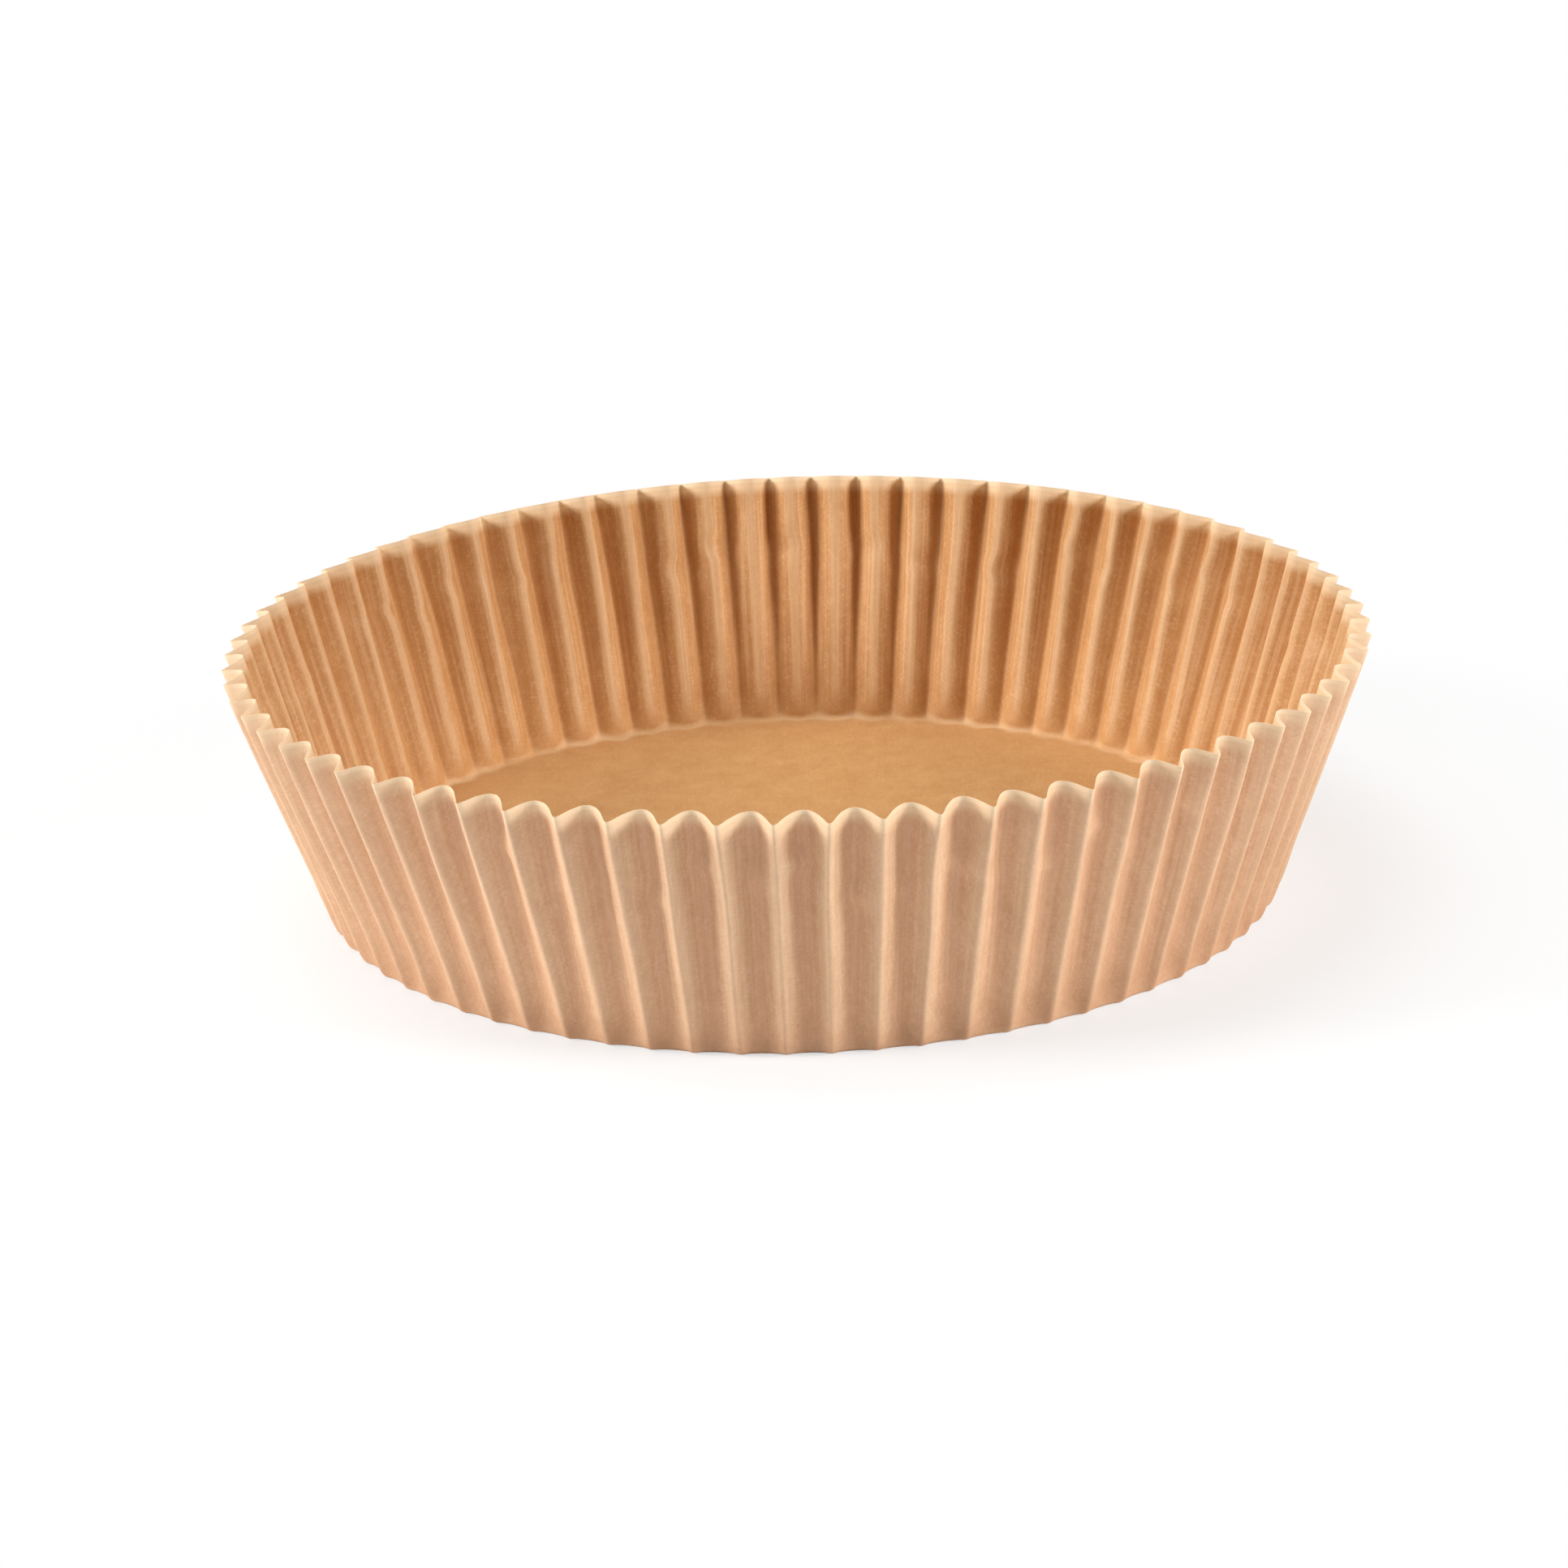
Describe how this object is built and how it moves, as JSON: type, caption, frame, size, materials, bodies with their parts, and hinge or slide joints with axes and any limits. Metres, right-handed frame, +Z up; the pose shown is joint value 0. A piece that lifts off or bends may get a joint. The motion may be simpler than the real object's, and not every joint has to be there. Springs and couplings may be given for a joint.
{
  "type": "air fryer paper liner",
  "caption": "Round open cup of thin brown greaseproof paper, with a flat base and a fluted wall that leans outward, for lining an air fryer basket.",
  "frame": {"origin": "centre of the base's underside, where the liner stands", "axes": "+Z up along the cup's axis, from the base towards the open rim; the flutes repeat evenly round it, so +X and +Y have no special place beyond an inner fold lying on each"},
  "size_m": [0.19, 0.19, 0.0442],
  "materials": {
    "paper": "unbleached greaseproof paper, semi-matte"
  },
  "bodies": {
    "root": {"liner": "paper"}
  },
  "joints": []
}
